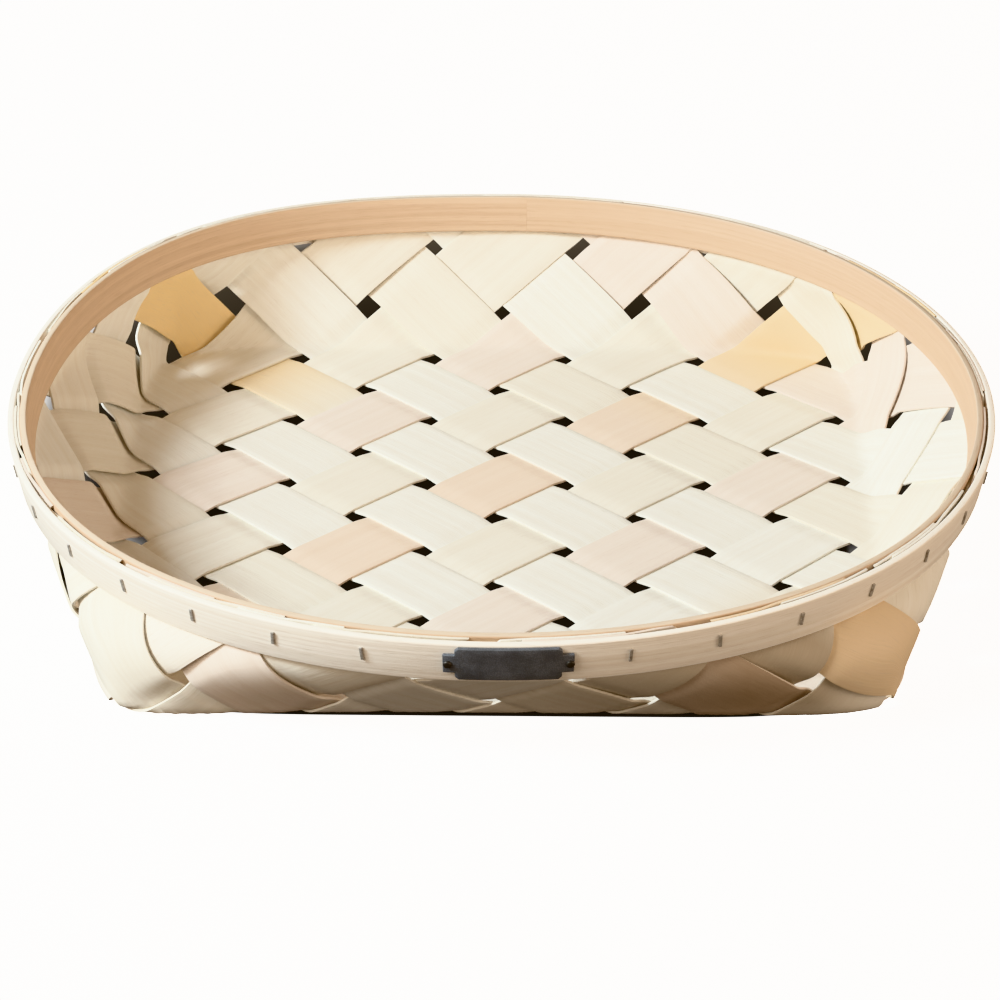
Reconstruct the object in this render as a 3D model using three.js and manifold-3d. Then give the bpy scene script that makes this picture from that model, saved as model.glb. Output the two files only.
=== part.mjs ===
// A tray basket plaited on the bias from flat chip-wood splints, with a square base and a round rim.
// The splint ends are held between two bent hoops by wire staples, and a small label covers the front joint.
// Millimetres, +Z up. The base stands on Z = 0 and the label faces -Y.
import * as THREE from 'three';
import { mergeVertices } from 'three/addons/utils/BufferGeometryUtils.js';
import Module from 'manifold-3d';

// Splints: their section, the open gap between neighbours, and how many cross each side of the base.
const SPLINT_WIDTH = 30;
const SPLINT_GAP = 6.6;
const SPLINT_THICKNESS = 0.9;
const SPLINTS_PER_SIDE = 5;
const WEAVE_CLEARANCE = 0.3;

// Tray: its height, how far each base side bows out and how squarely (a higher power brings the bow nearer
// to the corners), how far the rim's outer edge stands out from the straight base side, and the rim's
// outward lean in degrees.
const TOTAL_HEIGHT = 52.5;
const BASE_BULGE = 9;
const BULGE_POWER = 6;
const RIM_REACH = 50.6;
const RIM_TILT = 12;

// Hoops: laths bent to a ring and closed with a slanted joint. They start just above the bend of the
// splints, and the splint ends lie a little below their top edge.
const OUTER_HOOP_HEIGHT = 16.2;
const INNER_HOOP_HEIGHT = 14;
const OUTER_HOOP_THICKNESS = 2.2;
const INNER_HOOP_THICKNESS = 2.2;
const HOOP_LIFT = 0.5;
const SPLINT_END_DEPTH = 1.5;
const JOINT_LENGTH = 17;
const JOINT_RUNOUT = 7;
const JOINT_GAP = 0.4;

// Staples: crown length, wire section, bite into the inner hoop, and the bare stretch at the front
// in degrees.
const STAPLE_COUNT = 34;
const STAPLE_CROWN = 5.2;
const STAPLE_WIDTH = 1.2;
const STAPLE_WIRE = 0.7;
const STAPLE_BITE = 1.3;
const LABEL_STRETCH = 29;

// Label: a thin plate with a narrow tongue at each end, held by a tack through each tongue.
// It sits a little to the right of the middle of the front.
const LABEL_LENGTH = 36;
const LABEL_HEIGHT = 13.6;
const LABEL_THICKNESS = 1.4;
const LABEL_CHAMFER = 1.2;
const LABEL_OFFSET = 6;
const TONGUE_LENGTH = 4;
const TONGUE_HEIGHT = 7.6;
const TACK_HEAD_RADIUS = 1.5;
const TACK_HEAD_HEIGHT = 0.8;
const TACK_SHANK_RADIUS = 0.6;
const TACK_BITE = 1.4;
const TACK_SEGMENTS = 10;

// Room left between pieces that touch.
const CLEARANCE = 0.3;

// Points of a flat outline closer than this count as one point.
const SNAP = 0.03;

// Splint tones, from the palest to the darkest wood in the tray.
const TONES = { ivory: '#f0ece0', cream: '#ede5d4', rosy: '#ebddca', peach: '#ead5b4', honey: '#dcb27a' };
const RIGHT_TONES = ['rosy', 'cream', 'ivory', 'rosy', 'cream', 'peach', 'cream', 'rosy', 'cream', 'cream'];
const LEFT_TONES = ['cream', 'ivory', 'cream', 'ivory', 'ivory', 'honey', 'ivory', 'cream', 'ivory', 'rosy'];

const wasm = await Module();
wasm.setup();

// Derived layout of the weave. A cell is the square where two splints cross, measured along its diagonal.
const PITCH = SPLINT_WIDTH + SPLINT_GAP;
const CELL = PITCH * Math.SQRT2;
const SIDE = CELL * SPLINTS_PER_SIDE;
const HALF = SIDE / 2;
const COLUMNS = 2 * SPLINTS_PER_SIDE;
const COLUMN_WIDTH = SIDE / COLUMNS;
const RING = 4 * COLUMNS;
const QUARTER = Math.PI / 2;

// Derived layers. The middle surface runs between the over and the under splint.
const LAYER = (SPLINT_THICKNESS + WEAVE_CLEARANCE) / 2;
const WEAVE_HALF = LAYER + SPLINT_THICKNESS / 2;
const SLOT_HALF = WEAVE_HALF + CLEARANCE;
const OUTER_FACE = SLOT_HALF + OUTER_HOOP_THICKNESS;
const INNER_FACE = SLOT_HALF + INNER_HOOP_THICKNESS;

// Derived rim. A slant runs up the middle surface of the rim from its lower bend to its top.
const TILT = THREE.MathUtils.degToRad(RIM_TILT);
const SLANT = HOOP_LIFT + OUTER_HOOP_HEIGHT;
const TOP_RADIUS = HALF + RIM_REACH - OUTER_FACE * Math.cos(TILT);
const TOP_Z = TOTAL_HEIGHT - INNER_FACE * Math.sin(TILT);
const BEND_RADIUS = TOP_RADIUS - SLANT * Math.sin(TILT);
const BEND_Z = TOP_Z - SLANT * Math.cos(TILT);
const OUTER_MIDDLE = HOOP_LIFT + OUTER_HOOP_HEIGHT / 2;
const INNER_MIDDLE = SLANT - INNER_HOOP_HEIGHT / 2;

const material = (color, roughness, metalness = 0) => (
  new THREE.MeshStandardMaterial({ color, roughness, metalness })
);

const tray = new THREE.Group();

function addPiece(name, geometry, finish) {
  const mesh = new THREE.Mesh(geometry, finish);
  mesh.name = name;
  tray.add(mesh);
  return mesh;
}

// Cutting and joining of closed meshes.
function toSolid(geometry) {
  const bare = geometry.clone();
  bare.deleteAttribute('normal');
  bare.deleteAttribute('uv');
  const merged = mergeVertices(bare, 1e-4);
  const vertProperties = new Float32Array(merged.attributes.position.array);
  const triVerts = new Uint32Array(merged.index.array);
  return new wasm.Manifold(new wasm.Mesh({ numProp: 3, vertProperties, triVerts }));
}

function toGeometry(solid) {
  const { vertProperties, triVerts } = solid.getMesh();
  const geometry = new THREE.BufferGeometry();
  geometry.setAttribute('position', new THREE.BufferAttribute(new Float32Array(vertProperties), 3));
  geometry.setIndex(new THREE.BufferAttribute(new Uint32Array(triVerts), 1));
  geometry.computeVertexNormals();
  return geometry;
}

// A cut that frees a sliver at the edge of a splint leaves only the splint.
function cutAway(geometry, cutter) {
  const bodies = toSolid(geometry).subtract(cutter).decompose();
  bodies.sort((a, b) => b.volume() - a.volume());
  return toGeometry(bodies[0]);
}

// The pillars are the lines up the middle surface that split each wall into columns.
// Each holds the point of the base fold, of the bend under the rim and of the rim's top, and how far
// the flat wall reaches to each of them.
function makePillar(i) {
  const side = Math.floor(i / COLUMNS);
  const along = (i - side * COLUMNS) * COLUMN_WIDTH;
  const spread = BASE_BULGE * (1 - ((2 * along) / SIDE - 1) ** BULGE_POWER);
  const fold = new THREE.Vector3(along - HALF, -HALF - spread, WEAVE_HALF);
  fold.applyAxisAngle(new THREE.Vector3(0, 0, 1), side * QUARTER);
  const angle = (i / COLUMNS - 1.5) * QUARTER;
  const bend = new THREE.Vector3(BEND_RADIUS * Math.cos(angle), BEND_RADIUS * Math.sin(angle), BEND_Z);
  const top = new THREE.Vector3(TOP_RADIUS * Math.cos(angle), TOP_RADIUS * Math.sin(angle), TOP_Z);
  const bendReach = spread + fold.distanceTo(bend);
  return { fold, bend, top, spread, bendReach };
}

const pillars = Array.from({ length: RING }, (_, i) => makePillar(i));
const pillarAt = (i) => pillars[((i % RING) + RING) % RING];
const pointUp = (pillar, slant) => pillar.bend.clone().lerp(pillar.top, slant / SLANT);

// Flat outlines of [along, across] points.
function signedArea(flat) {
  let area = 0;
  flat.forEach(([x, y], i) => {
    const [nextX, nextY] = flat[(i + 1) % flat.length];
    area += (x * nextY - nextX * y) / 2;
  });
  return area;
}

// Keeps the part of a convex outline where sign * coordinate >= sign * limit.
function clip(flat, axis, limit, sign) {
  const kept = [];
  flat.forEach((point, i) => {
    const next = flat[(i + 1) % flat.length];
    const here = sign * (point[axis] - limit);
    const there = sign * (next[axis] - limit);
    if (here > -SNAP) kept.push(point);
    const crosses = (here > SNAP && there < -SNAP) || (here < -SNAP && there > SNAP);
    if (!crosses) return;
    const share = here / (here - there);
    kept.push(point.map((value, k) => value + share * (next[k] - value)));
  });
  return kept;
}

// A facet is a plane piece of the middle surface, with its outline laid flat and in space.
function makeFacet(flat, solid) {
  const turned = signedArea(flat) < 0;
  const outline = turned ? [...flat].reverse() : flat;
  const corners = turned ? [...solid].reverse() : solid;
  const third = Math.floor(outline.length / 3);
  const [a, b, c] = [0, third, 2 * third].map((k) => outline[k]);
  const [from, u, v] = [0, third, 2 * third].map((k) => corners[k]);
  const uEdge = u.clone().sub(from);
  const vEdge = v.clone().sub(from);
  const doubled = (b[0] - a[0]) * (c[1] - a[1]) - (b[1] - a[1]) * (c[0] - a[0]);
  const locate = ([x, y]) => {
    const uShare = ((x - a[0]) * (c[1] - a[1]) - (y - a[1]) * (c[0] - a[0])) / doubled;
    const vShare = ((b[0] - a[0]) * (y - a[1]) - (b[1] - a[1]) * (x - a[0])) / doubled;
    return from.clone().addScaledVector(uEdge, uShare).addScaledVector(vEdge, vShare);
  };
  return { outline, locate, normal: uEdge.clone().cross(vEdge).normalize() };
}

// The direction that keeps a sheet at one distance from every plane that meets at a point.
const ALIKE = Math.cos(THREE.MathUtils.degToRad(20));

function mitre(normals) {
  const groups = [];
  normals.forEach((normal) => {
    const like = groups.find((group) => group.clone().normalize().dot(normal) > ALIKE);
    if (like) like.add(normal);
    else groups.push(normal.clone());
  });
  const sum = new THREE.Vector3();
  groups.forEach((group) => sum.add(group.normalize()));
  return sum.multiplyScalar(groups.length / sum.lengthSq());
}

// Corners of a convex outline, turned so that a fan from the first one has no thin triangle.
function bestFan(outline, corners) {
  let best = corners;
  let bestArea = -Infinity;
  corners.forEach((_, start) => {
    const turned = corners.map((__, k) => corners[(start + k) % corners.length]);
    let least = Infinity;
    for (let k = 1; k + 1 < turned.length; k += 1) {
      least = Math.min(least, signedArea([outline[turned[0]], outline[turned[k]], outline[turned[k + 1]]]));
    }
    if (least > bestArea) {
      bestArea = least;
      best = turned;
    }
  });
  return best;
}

// A closed sheet over flat pieces of facets, between two offsets that may change along it.
function makeSheet(pieces, lowAt, highAt) {
  const points = [];
  const normalsAt = [];
  const placeAt = [];
  const indexOf = (point, facet) => {
    let k = points.findIndex((other) => Math.hypot(other[0] - point[0], other[1] - point[1]) < SNAP);
    if (k < 0) {
      k = points.push(point) - 1;
      normalsAt.push([]);
      placeAt.push(facet.locate(point));
    }
    if (!normalsAt[k].includes(facet.normal)) normalsAt[k].push(facet.normal);
    return k;
  };
  const polygons = pieces.map(({ outline, facet }) => {
    const corners = outline.map((point) => indexOf(point, facet));
    return corners.filter((corner, k) => corner !== corners[(k + 1) % corners.length]);
  }).filter((corners) => corners.length > 2);

  const positions = [];
  [lowAt, highAt].forEach((offsetAt) => {
    points.forEach((point, k) => {
      const place = placeAt[k].clone().addScaledVector(mitre(normalsAt[k]), offsetAt(point[0]));
      positions.push(place.x, place.y, place.z);
    });
  });
  const high = points.length;
  const triangles = [];
  const edges = new Map();
  polygons.forEach((corners) => {
    const fan = bestFan(points, corners);
    for (let k = 1; k + 1 < fan.length; k += 1) {
      triangles.push(high + fan[0], high + fan[k], high + fan[k + 1]);
      triangles.push(fan[0], fan[k + 1], fan[k]);
    }
    corners.forEach((corner, k) => edges.set(`${corner} ${corners[(k + 1) % corners.length]}`, corner));
  });
  edges.forEach((from, key) => {
    const to = Number(key.split(' ')[1]);
    if (edges.has(`${to} ${from}`)) return;
    triangles.push(from, to, high + to, from, high + to, high + from);
  });
  const geometry = new THREE.BufferGeometry();
  geometry.setAttribute('position', new THREE.Float32BufferAttribute(positions, 3));
  geometry.setIndex(triangles);
  return geometry;
}

// Facets that one splint may cross, laid flat in its own [along, across] directions.
// The base is one plane. Each wall column has two triangles up to the bend and one strip of the rim.
function splintFacets(along, across, centre, exitSides) {
  const lay = (x, y) => [x * along.x + y * along.y, x * across.x + y * across.y - centre];
  const facets = [makeFacet(
    pillars.map(({ fold }) => lay(fold.x, fold.y)),
    pillars.map(({ fold }) => fold),
  )];
  exitSides.forEach((side) => {
    const corner = new THREE.Vector2();
    const layWall = (i, reach) => {
      corner.set((i - side * COLUMNS) * COLUMN_WIDTH - HALF, -HALF - reach);
      corner.rotateAround(new THREE.Vector2(), side * QUARTER);
      return lay(corner.x, corner.y);
    };
    for (let i = (side - 1) * COLUMNS; i < (side + 2) * COLUMNS; i += 1) {
      const [left, right] = [pillarAt(i), pillarAt(i + 1)];
      const endSlant = SLANT - SPLINT_END_DEPTH;
      const fold = [layWall(i, left.spread), layWall(i + 1, right.spread)];
      const bend = [layWall(i, left.bendReach), layWall(i + 1, right.bendReach)];
      const end = [layWall(i, left.bendReach + endSlant), layWall(i + 1, right.bendReach + endSlant)];
      const leansRight = (((i % COLUMNS) + COLUMNS) % COLUMNS) < COLUMNS / 2;
      if (leansRight) {
        facets.push(makeFacet([fold[0], fold[1], bend[1]], [left.fold, right.fold, right.bend]));
        facets.push(makeFacet([fold[0], bend[1], bend[0]], [left.fold, right.bend, left.bend]));
      } else {
        facets.push(makeFacet([fold[0], fold[1], bend[0]], [left.fold, right.fold, left.bend]));
        facets.push(makeFacet([fold[1], bend[1], bend[0]], [right.fold, right.bend, left.bend]));
      }
      facets.push(makeFacet(
        [bend[0], bend[1], end[1], end[0]],
        [left.bend, right.bend, pointUp(right, endSlant), pointUp(left, endSlant)],
      ));
    }
  });
  return facets;
}

// One splint: it crosses the base on the diagonal, runs up the walls at both ends, and goes over and under
// in turn, changing layer in the gap between two crossing splints.
function makeSplint(quarterTurns, line) {
  const turn = quarterTurns * QUARTER;
  const along = new THREE.Vector2(1, 1).normalize().rotateAround(new THREE.Vector2(), turn);
  const across = new THREE.Vector2(-1, 1).normalize().rotateAround(new THREE.Vector2(), turn);
  const centre = (line + 0.5) * PITCH;
  const exitSides = (centre > 0 ? [2, 3] : [0, 1]).map((side) => (side + quarterTurns + 4) % 4);
  const layerOf = (crossing) => ((crossing + line) % 2 === 0 ? LAYER : -LAYER);
  const layerAt = (distance) => {
    const boundary = Math.round(distance / PITCH);
    const share = THREE.MathUtils.clamp((distance - boundary * PITCH) / SPLINT_GAP + 0.5, 0, 1);
    return THREE.MathUtils.lerp(layerOf(boundary - 1), layerOf(boundary), share);
  };
  const boundaries = 2 * SPLINTS_PER_SIDE;
  const pieces = [];
  splintFacets(along, across, centre, exitSides).forEach((facet) => {
    const trimmed = clip(clip(facet.outline, 1, -SPLINT_WIDTH / 2, 1), 1, SPLINT_WIDTH / 2, -1);
    let rest = trimmed;
    for (let k = -boundaries; k <= boundaries; k += 1) {
      [k * PITCH - SPLINT_GAP / 2, k * PITCH + SPLINT_GAP / 2].forEach((cut) => {
        const before = clip(rest, 0, cut, -1);
        if (Math.abs(signedArea(before)) > SNAP) pieces.push({ outline: before, facet });
        rest = clip(rest, 0, cut, 1);
      });
    }
    if (Math.abs(signedArea(rest)) > SNAP) pieces.push({ outline: rest, facet });
  });
  const halfThickness = SPLINT_THICKNESS / 2;
  return makeSheet(pieces, (s) => layerAt(s) - halfThickness, (s) => layerAt(s) + halfThickness);
}

// One hoop as a ring of flat stretches, between two slants and two distances inward of the middle surface.
function makeHoop(lowSlant, highSlant, farOut, farIn) {
  const stretchNormal = (i) => {
    const [left, right] = [pillarAt(i), pillarAt(i + 1)];
    const tangent = right.bend.clone().sub(left.bend);
    return left.top.clone().sub(left.bend).cross(tangent).normalize();
  };
  const positions = [];
  pillars.forEach((pillar, i) => {
    const inward = mitre([stretchNormal(i - 1), stretchNormal(i)]);
    const section = [[lowSlant, farOut], [highSlant, farOut], [highSlant, farIn], [lowSlant, farIn]];
    section.forEach(([slant, distance]) => {
      const corner = pointUp(pillar, slant).addScaledVector(inward, distance);
      positions.push(corner.x, corner.y, corner.z);
    });
  });
  const triangles = [];
  for (let i = 0; i < RING; i += 1) {
    const next = (i + 1) % RING;
    for (let k = 0; k < 4; k += 1) {
      const [a, b] = [4 * i + k, 4 * i + ((k + 1) % 4)];
      const [c, d] = [4 * next + ((k + 1) % 4), 4 * next + k];
      triangles.push(a, c, b, a, d, c);
    }
  }
  const geometry = new THREE.BufferGeometry();
  geometry.setAttribute('position', new THREE.Float32BufferAttribute(positions, 3));
  geometry.setIndex(triangles);
  return geometry;
}

// The place of a fitting on the rim: X points out of the rim, Y up its slant, Z along it.
const BEARING_STEP = (2 * Math.PI) / RING;

function rimPlace(bearing, slant) {
  const angle = bearing - QUARTER;
  const offCentre = (((bearing % BEARING_STEP) + BEARING_STEP) % BEARING_STEP) - BEARING_STEP / 2;
  const inset = Math.cos(BEARING_STEP / 2) / Math.cos(offCentre);
  const radius = (BEND_RADIUS + slant * Math.sin(TILT)) * inset;
  const radial = new THREE.Vector3(Math.cos(angle), Math.sin(angle), 0);
  const up = new THREE.Vector3(0, 0, 1);
  const out = radial.clone().multiplyScalar(Math.cos(TILT)).addScaledVector(up, -Math.sin(TILT));
  const rise = radial.clone().multiplyScalar(Math.sin(TILT)).addScaledVector(up, Math.cos(TILT));
  const place = new THREE.Matrix4().makeBasis(out, rise, out.clone().cross(rise));
  const seat = radial.multiplyScalar(radius).addScaledVector(up, BEND_Z + slant * Math.cos(TILT));
  return place.setPosition(seat);
}

// Staples: a U of flat wire, its crown upright on the outer hoop and its legs biting into the inner hoop.
const CROWN_FACE = OUTER_FACE + CLEARANCE;
const LEG_TIP = -(SLOT_HALF + STAPLE_BITE);
const LEG_OFFSET = (STAPLE_CROWN - STAPLE_WIRE) / 2;

function makeStaple() {
  const half = STAPLE_CROWN / 2;
  const crownTop = CROWN_FACE + STAPLE_WIRE;
  const outline = new THREE.Shape([
    new THREE.Vector2(LEG_TIP, -half),
    new THREE.Vector2(crownTop, -half),
    new THREE.Vector2(crownTop, half),
    new THREE.Vector2(LEG_TIP, half),
    new THREE.Vector2(LEG_TIP, half - STAPLE_WIRE),
    new THREE.Vector2(CROWN_FACE, half - STAPLE_WIRE),
    new THREE.Vector2(CROWN_FACE, STAPLE_WIRE - half),
    new THREE.Vector2(LEG_TIP, STAPLE_WIRE - half),
  ]);
  const wire = new THREE.ExtrudeGeometry(outline, { depth: STAPLE_WIDTH, bevelEnabled: false });
  return wire.translate(0, 0, -STAPLE_WIDTH / 2);
}

function makeLegHoles(place) {
  const start = LEG_TIP - CLEARANCE;
  const length = CROWN_FACE - start;
  const wire = STAPLE_WIRE + 2 * CLEARANCE;
  return [-LEG_OFFSET, LEG_OFFSET].map((offset) => {
    const hole = new THREE.BoxGeometry(length, wire, STAPLE_WIDTH + 2 * CLEARANCE);
    hole.translate(start + length / 2, offset, 0);
    return toSolid(hole.applyMatrix4(place));
  });
}

const stapleStep = (2 * Math.PI - THREE.MathUtils.degToRad(LABEL_STRETCH)) / (STAPLE_COUNT - 1);
const firstStaple = THREE.MathUtils.degToRad(LABEL_STRETCH) / 2;
const staplePlaces = Array.from({ length: STAPLE_COUNT }, (_, i) => (
  rimPlace(firstStaple + i * stapleStep, INNER_MIDDLE)
));
const legHoles = wasm.Manifold.union(staplePlaces.flatMap(makeLegHoles));

// The label lies on the two flat stretches of the outer hoop that meet at the middle of the front.
const FRONT = COLUMNS / 2;
const LABEL_BACK = OUTER_FACE + CLEARANCE;
const LABEL_FRONT = LABEL_BACK + LABEL_THICKNESS;
const TACK_REACH = LABEL_LENGTH / 2 + TONGUE_LENGTH / 2;

function labelFacet(neighbour, reach) {
  const middle = pillarAt(FRONT);
  const sideways = pillarAt(neighbour).bend.clone().sub(middle.bend).normalize();
  const corner = (x, slant) => pointUp(middle, slant).addScaledVector(sideways, Math.abs(x));
  const flat = [[0, 0], [reach, 0], [reach, SLANT], [0, SLANT]];
  return makeFacet(flat, flat.map(([x, slant]) => corner(x, slant)));
}

function makeLabel() {
  const [body, tongue] = [LABEL_HEIGHT / 2, TONGUE_HEIGHT / 2];
  const pieces = [];
  [[FRONT + 1, 1], [FRONT - 1, -1]].forEach(([neighbour, hand]) => {
    const end = LABEL_LENGTH / 2 + hand * LABEL_OFFSET;
    const plate = [
      [0, -body], [end - LABEL_CHAMFER, -body], [end, LABEL_CHAMFER - body], [end, -tongue],
      [end, tongue], [end, body - LABEL_CHAMFER], [end - LABEL_CHAMFER, body], [0, body],
    ];
    const tip = end + TONGUE_LENGTH;
    const flap = [
      [end, -tongue], [tip - LABEL_CHAMFER, -tongue], [tip, LABEL_CHAMFER - tongue],
      [tip, tongue - LABEL_CHAMFER], [tip - LABEL_CHAMFER, tongue], [end, tongue],
    ];
    const facet = labelFacet(neighbour, hand * (tip + LABEL_CHAMFER));
    [plate, flap].forEach((shape) => {
      const outline = shape.map(([x, y]) => [hand * x, OUTER_MIDDLE + y]);
      pieces.push({ outline: hand > 0 ? outline : outline.reverse(), facet });
    });
  });
  return makeSheet(pieces, () => LABEL_BACK, () => LABEL_FRONT);
}

// Tacks: a low domed head on the label and a shank through it into the outer hoop.
const TACK_SEAT = LABEL_FRONT + CLEARANCE;
const SHANK_TIP = OUTER_FACE - TACK_BITE;

function makeTack() {
  const profile = [
    new THREE.Vector2(0, SHANK_TIP),
    new THREE.Vector2(TACK_SHANK_RADIUS, SHANK_TIP + TACK_SHANK_RADIUS),
    new THREE.Vector2(TACK_SHANK_RADIUS, TACK_SEAT),
    new THREE.Vector2(TACK_HEAD_RADIUS, TACK_SEAT),
    new THREE.Vector2(TACK_HEAD_RADIUS * Math.cos(QUARTER / 2), TACK_SEAT + TACK_HEAD_HEIGHT / Math.SQRT2),
    new THREE.Vector2(0, TACK_SEAT + TACK_HEAD_HEIGHT),
  ];
  return new THREE.LatheGeometry(profile, TACK_SEGMENTS).rotateZ(-QUARTER);
}

function makeTackHole(place) {
  const radius = TACK_SHANK_RADIUS + CLEARANCE;
  const start = SHANK_TIP - CLEARANCE;
  const length = TACK_SEAT + CLEARANCE - start;
  const hole = new THREE.CylinderGeometry(radius, radius, length, TACK_SEGMENTS).rotateZ(-QUARTER);
  return toSolid(hole.translate(start + length / 2, 0, 0).applyMatrix4(place));
}

const tackPlaces = [-1, 1].map((hand) => (
  rimPlace((hand * TACK_REACH + LABEL_OFFSET) / TOP_RADIUS, OUTER_MIDDLE)
));
const tackHoles = wasm.Manifold.union(tackPlaces.map(makeTackHole));

// The slanted joint where the two ends of a hoop meet, as a slit across one flat stretch of it.
function makeJoint(stretch, outward, thickness) {
  const place = rimPlace((stretch + 0.5) * BEARING_STEP, SLANT / 2);
  const slit = new THREE.BoxGeometry(JOINT_GAP, 2 * SLANT, JOINT_LENGTH + JOINT_RUNOUT);
  slit.rotateY(Math.atan2(thickness, JOINT_LENGTH));
  slit.translate(outward, 0, 0);
  return toSolid(slit.applyMatrix4(place));
}

const outerJoint = makeJoint(0, SLOT_HALF + OUTER_HOOP_THICKNESS / 2, OUTER_HOOP_THICKNESS);
const innerJoint = makeJoint(RING / 2, -SLOT_HALF - INNER_HOOP_THICKNESS / 2, INNER_HOOP_THICKNESS);

// Assembly
const numbered = (name, i) => `${name}_${String(i + 1).padStart(2, '0')}`;

function addSplints(lean, quarterTurns, tones) {
  for (let i = 0; i < 2 * SPLINTS_PER_SIDE; i += 1) {
    const splint = cutAway(makeSplint(quarterTurns, i - SPLINTS_PER_SIDE), legHoles);
    const tone = TONES[tones[i % tones.length]];
    addPiece(numbered(`splint_${lean}`, i), splint, material(tone, 0.7));
  }
}

addSplints('right', 0, RIGHT_TONES);
addSplints('left', -1, LEFT_TONES);

const outerHoop = makeHoop(HOOP_LIFT, SLANT, -OUTER_FACE, -SLOT_HALF);
const innerHoop = makeHoop(SLANT - INNER_HOOP_HEIGHT, SLANT, SLOT_HALF, INNER_FACE);
const outerCuts = legHoles.add(tackHoles).add(outerJoint);
const innerCuts = legHoles.add(innerJoint);
addPiece('outer_hoop', cutAway(outerHoop, outerCuts), material('#ebe2d0', 0.65));
addPiece('inner_hoop', cutAway(innerHoop, innerCuts), material('#e0bd97', 0.65));

staplePlaces.forEach((place, i) => {
  const staple = addPiece(numbered('rim_staple', i), makeStaple(), material('#6f6a63', 0.4, 0.9));
  staple.applyMatrix4(place);
});

addPiece('label_plate', cutAway(makeLabel(), tackHoles), material('#33302d', 0.6));
tackPlaces.forEach((place, i) => {
  const tack = addPiece(`label_tack_${['left', 'right'][i]}`, makeTack(), material('#4a4744', 0.35, 0.9));
  tack.applyMatrix4(place);
});

// The origin lies under the middle of the whole tray.
const box = new THREE.Box3().setFromObject(tray);
const middle = box.getCenter(new THREE.Vector3());
tray.position.set(-middle.x, -middle.y, -box.min.z);

const group = new THREE.Group();
group.add(tray);
export default group;
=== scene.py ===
import math
import random

import bpy
import numpy as np
from mathutils import Matrix, Vector


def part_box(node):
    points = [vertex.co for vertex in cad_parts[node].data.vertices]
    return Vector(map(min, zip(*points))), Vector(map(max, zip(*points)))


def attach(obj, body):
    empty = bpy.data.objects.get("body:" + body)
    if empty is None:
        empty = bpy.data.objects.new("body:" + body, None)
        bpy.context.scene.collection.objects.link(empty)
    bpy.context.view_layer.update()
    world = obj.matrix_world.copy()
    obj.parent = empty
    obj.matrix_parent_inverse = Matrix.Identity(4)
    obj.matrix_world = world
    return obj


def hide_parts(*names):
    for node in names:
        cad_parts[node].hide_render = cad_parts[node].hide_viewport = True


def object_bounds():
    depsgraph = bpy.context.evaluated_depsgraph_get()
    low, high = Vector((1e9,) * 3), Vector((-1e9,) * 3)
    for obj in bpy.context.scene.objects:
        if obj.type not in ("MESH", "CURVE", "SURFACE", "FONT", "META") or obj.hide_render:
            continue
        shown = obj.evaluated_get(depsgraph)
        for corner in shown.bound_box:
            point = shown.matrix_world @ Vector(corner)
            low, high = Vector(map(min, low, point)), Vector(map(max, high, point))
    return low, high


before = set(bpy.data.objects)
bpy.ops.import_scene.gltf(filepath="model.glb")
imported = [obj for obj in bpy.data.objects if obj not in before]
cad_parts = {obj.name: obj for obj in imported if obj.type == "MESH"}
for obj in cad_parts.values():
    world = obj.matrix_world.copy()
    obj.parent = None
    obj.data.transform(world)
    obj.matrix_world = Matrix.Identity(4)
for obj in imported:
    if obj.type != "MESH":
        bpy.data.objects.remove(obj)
cad_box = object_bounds()

# Splints: twenty flat strips of pale chip wood, sliced thin and left raw.
# They are plaited over and under on the bias across a square base, fold up at its edges,
# and are drawn into a round rim, where two hoops clamp their ends.
SPLINT_WIDTH = 0.030
SPLINT_GAP = 0.0066
SPLINT_THICKNESS = 0.0009
SPLINTS_PER_SIDE = 5
PITCH = SPLINT_WIDTH + SPLINT_GAP
BASE_SIDE = PITCH * math.sqrt(2) * SPLINTS_PER_SIDE
LAYER_RISE = 0.00048        # a splint lies this far above or below the middle of the weave
LAYER_CHANGE = 0.010        # length over which a splint dives under its neighbour
WALL_BOW = 0.0011           # half way up the walls, where they are loose, the layers part by this much more
WEAVE_MIDDLE = LAYER_RISE + SPLINT_THICKNESS / 2    # height of the weave's middle in the base
WEAVE_SHIFT = -0.0024       # the base lies this far to the left of the rim's centre
BASE_BULGES = (0.0105, 0.010, 0.009, 0.009)     # the front, right, back and left edges bow out by this much
BULGE_POWER = 10            # and squarely, so that the bow begins close to the corners
CORNER_PULL = {             # the two corners at the front are drawn out, to the side and forwards
    (-1, -1): (-0.0013, -0.0091),
    (1, -1): (0.0091, -0.0044),
}
PULL_POWER = 3              # and the pull fades quickly away from them
FOLD_REACH = 0.0032         # the fold is rounded this far either side of the base's edge
BEND_REACH = 0.005          # and the turn into the hoops this far either side of their lower edge
CORNER_REACH = 0.0012       # and the base's corners this far along its edges,
CORNER_SAMPLES = 9          # as the mean of this many points
ARCH_START = 0.060          # the base begins to rise this far from its middle
ARCH_END = 0.138            # and is highest at its edges
ARCHES = (                  # the left, right and back edges arch off the ground
    (-1, 0, 0.005),
    (1, 0, 0.003),
    (0, 1, 0.001),
)
BEARINGS = (-135, -90, -45, 0, 45, 90, 135, 180)    # degrees, from the front left corner to the left side
RIM_SWELLS = (0.0040, 0.0, 0.0035, 0.0, 0.0008, 0.0, 0.0055, 0.0)   # there the rim stands out by this much
RIM_LIFTS = (0.0, -0.0011, 0.0, 0.0, 0.0008, 0.0, 0.0033, 0.0)      # and up by this much,
WALL_BELLIES = (0.0065, 0.0, 0.0075, 0.0, 0.003, 0.0, 0.003, 0.0)   # the wall bellies out by this much
LOOSENESS = (1.0, 0.0, 1.0, 0.0, 1.0, 0.0, 1.0, 0.8)                # and is as loose as this
BELLY_SCALE = 27 / 4        # brings the belly's curve to 1 at its highest, two thirds up the wall
RIM_TILT = math.radians(12)
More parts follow.
